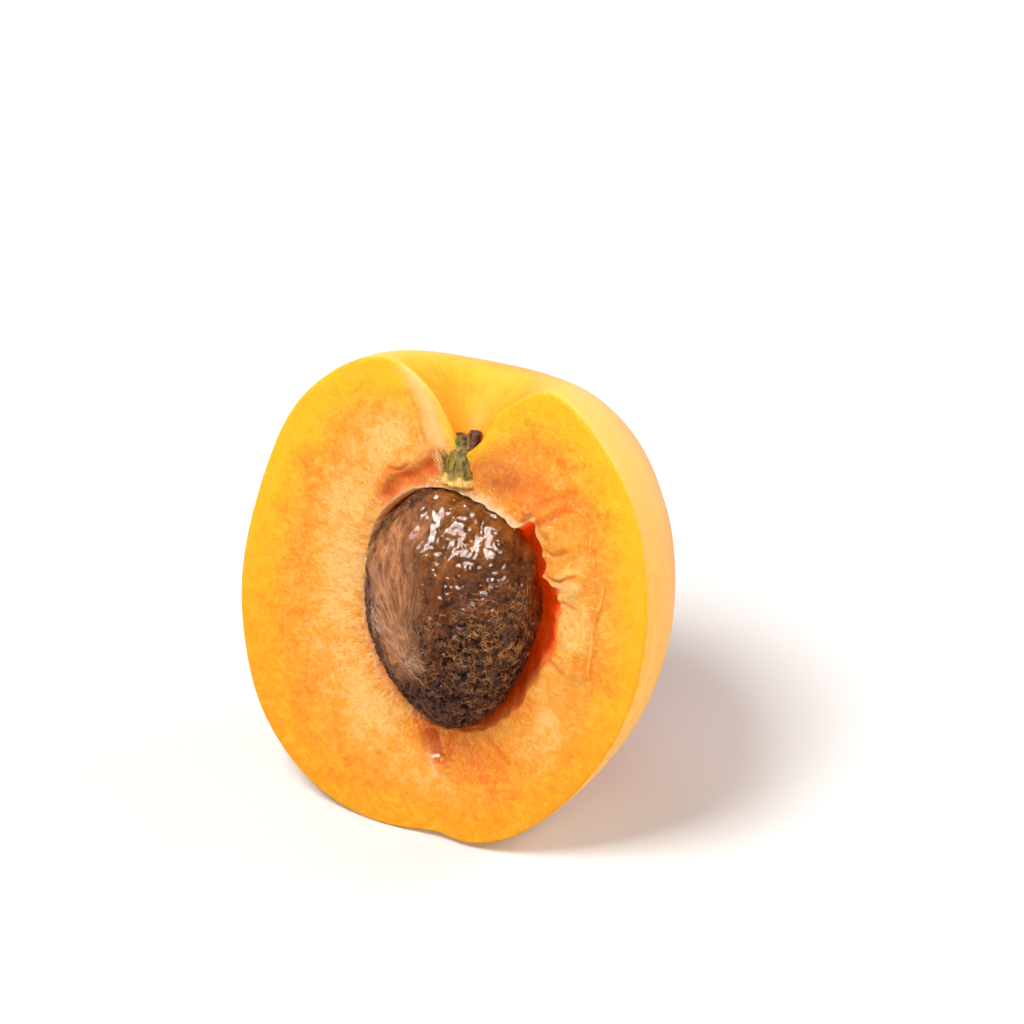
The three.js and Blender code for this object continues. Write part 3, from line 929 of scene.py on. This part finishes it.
def reach_out(root, way, rise, sag):
    """A short path from root along way that first stands out from the face and then drops."""
    path = []
    for s in (0.0, 0.2, 0.4, 0.6, 0.8, 1.0):
        drop = Vector((0, sag * s * s - rise * math.sin(2.2 * s), 0))
        path.append(TO_FRAME @ (root + way * s + drop))
    return path


def build_lip_fibres():
    """Torn ends of flesh: tufts that reach from the lip of the hollow to the stone."""
    random.seed(31)
    tufts = []
    middle = Vector((HOLLOW_MIDDLE[0], 0, HOLLOW_MIDDLE[1]))
    for _ in range(LIP_FIBRES):
        clump = random.choice(LIP_CLUMPS)
        turn = np.array([math.radians(random.gauss(clump, 3.0))])
        ray = Vector((math.cos(turn[0]), 0, math.sin(turn[0])))
        sideways = Vector((-ray.z, 0, ray.x)) * random.uniform(-0.4, 0.4)
        root = middle + ray * (shape_lip(turn)[0] + random.uniform(0.3, 1.9)) + Vector((0, 0.02, 0))
        length = random.triangular(0.3, 2.0, 0.6)
        tufts.append(reach_out(root, (sideways - ray) * length, random.uniform(0.05, 0.3), 0.25 * length))
    finish = fibre_finish("flesh_fibre", colour(0.94, 0.38, 0.05), colour(0.98, 0.62, 0.27), 0.1)
    strands("lip_fibres", tufts, 0.036, finish, "fruit")


def build_stalk_fibres():
    """Pale torn tissue where the stalk came away from the flesh."""
    random.seed(8)
    wisps = []
    for _ in range(STALK_FIBRES):
        root = Vector((random.uniform(-2.9, 1.8), random.uniform(-1.3, -0.1), random.uniform(13.0, 14.2)))
        way = Vector((random.uniform(-1.2, 1.2), 0.3, random.uniform(-0.5, 0.5)))
        wisps.append(reach_out(root, way, random.uniform(0.0, 0.25), 0.3))
    for _ in range(HOOK_FIBRES):
        root = Vector((random.uniform(-2.5, -1.6), random.uniform(-0.9, 0.1), random.uniform(14.8, 17.0)))
        way = Vector((random.uniform(-1.5, -0.3), 0.4, random.uniform(-0.2, 1.1)))
        wisps.append(reach_out(root, way, random.uniform(0.0, 0.4), 0.3))
    finish = fibre_finish("torn_tissue", colour(0.80, 0.36, 0.07), colour(0.96, 0.66, 0.30), 0.2)
    strands("stalk_fibres", wisps, 0.03, finish, "stalk")


# ---- The stalk -----------------------------------------------------------------------------------

BARK_VOXEL = 0.11

# Each limb as its points up the middle and its radius at each one.
STALK_LIMBS = (
    (
        ((-0.3, 0.8, 13.6), (-0.3, 0.8, 15.0), (-0.4, 0.9, 16.5), (-0.5, 1.0, 17.6), (-0.4, 1.1, 18.7)),
        (2.3, 2.0, 1.5, 0.95, 0.85),
    ),
    (((-0.9, 0.7, 15.0), (-1.7, 0.5, 16.1), (-2.0, 0.3, 17.3)), (1.1, 0.85, 0.4)),
    (((0.1, 1.0, 15.6), (0.6, 1.2, 17.2), (0.8, 1.3, 18.3), (0.9, 1.35, 19.3)), (0.9, 0.66, 0.7, 0.72)),
)


def build_stalk():
    """Three limbs grown into one, with fibres along the bark."""
    limbs = []
    for k, (line, radii) in enumerate(STALK_LIMBS):
        curve = bpy.data.curves.new("limb", "CURVE")
        curve.dimensions = "3D"
        curve.bevel_depth = 1.0
        curve.bevel_resolution = 5
        curve.use_fill_caps = True
        spline = curve.splines.new("POLY")
        middle = smooth_curve(line, 6)
        girth = smooth_curve(np.array(radii)[:, None], 6)[:, 0]
        spline.points.add(len(middle) - 1)
        for point, place, radius in zip(spline.points, middle, girth):
            point.co = (*place, 1)
            point.radius = radius
        limb = bpy.data.objects.new(f"limb_{k}", curve)
        bpy.context.collection.objects.link(limb)
        limbs.append(limb)
    bpy.ops.object.select_all(action="DESELECT")
    for limb in limbs:
        limb.select_set(True)
    bpy.context.view_layer.objects.active = limbs[0]
    bpy.ops.object.convert(target="MESH")
    bpy.ops.object.join()
    stalk = bpy.context.object
    stalk.name = stalk.data.name = "forked_stalk"
    grow = stalk.modifiers.new("grow_together", "REMESH")
    grow.mode = "VOXEL"
    grow.voxel_size = BARK_VOXEL
    soften = stalk.modifiers.new("soften", "SMOOTH")
    soften.iterations = 3
    for modifier in (grow, soften):
        bpy.ops.object.modifier_apply(modifier=modifier.name)
    bark = places(stalk)
    long = bark * (1, 1, 0.2)
    rise = ridges(long, 0.55, 2.0) * 0.13 + bumps(bark, 0.35, 3.0) * 0.07 + bumps(bark, 1.2, 5.0) * 0.15
    dry = step(bark[:, 0] + bumps(bark, 0.8) * 0.2, 0.3, 0.6) * step(bark[:, 2], 16.6, 17.4)
    dry = np.maximum(dry, step(bark[:, 2] + bumps(bark, 0.6) * 0.3, 18.4, 18.8))
    collar = 1 - step(bark[:, 2] + bumps(bark, 0.8, 6.0) * 0.9, 14.1, 14.9)
    bark = bark + normals(stalk) * (rise - 0.06)[:, None]
    move_to(stalk, bark)
    paint(stalk, grown=bark, dry=dry, collar=collar)
    stalk.data.materials.append(stalk_finish())
    lean_back(stalk)
    settle(stalk, "stalk", "stalk_stub")


# ---- Floor and light -----------------------------------------------------------------------------


def add_floor():
    """Plain pale paper."""
    bpy.ops.object.select_all(action="DESELECT")
    bpy.ops.mesh.primitive_plane_add(size=8)
    floor = bpy.context.object
    floor.name = "floor"
    pale = colour(0.74, 0.73, 0.72)
    paper = Recipe("floor_paper", base_color=pale, roughness=0.8, specular_ior_level=0.1)
    floor.data.materials.append(paper.material)


def add_softbox(name, place, size, power, lights=True, mirrored=True):
    """A square light that looks at the fruit, and may only light it or only be mirrored in it."""
    lamp = bpy.data.lights.new(name, "AREA")
    lamp.shape = "SQUARE"
    lamp.size = size
    lamp.energy = power
    box = bpy.data.objects.new(name, lamp)
    bpy.context.collection.objects.link(box)
    box.visible_diffuse = lights
    box.visible_transmission = lights
    box.visible_glossy = mirrored
    away = Vector(place) - FACE_MIDDLE * MM
    box.matrix_world = Matrix.Translation(place) @ away.to_track_quat("Z", "Y").to_matrix().to_4x4()


def add_light():
    """Soft boxes above, beside and in front, and one that only shows as a gleam on what is wet."""
    scene = bpy.context.scene
    scene.world = bpy.data.worlds.new("room")
    scene.world.use_nodes = True
    room = scene.world.node_tree.nodes["Background"].inputs
    room["Color"].default_value = colour(1.0, 1.0, 1.0)
    room["Strength"].default_value = 0.2
    scene.view_settings.view_transform = "Standard"
    add_softbox("overhead_softbox", (-0.14, -0.14, 0.57), 0.24, 3.5)
    add_softbox("left_softbox", (-0.42, 0.30, 0.35), 0.30, 0.6)
    add_softbox("right_softbox", (0.45, 0.35, 0.35), 0.30, 2.4)
    add_softbox("front_softbox", (0.25, -0.65, 0.30), 0.50, 2.2, mirrored=False)
    add_softbox("mirrored_softbox", (0.0, -0.24, 0.53), 0.50, 17.0, lights=False)


build_half()
build_stone_fibres(build_stone())
build_lip_fibres()
build_stalk()
build_stalk_fibres()
add_floor()
add_light()
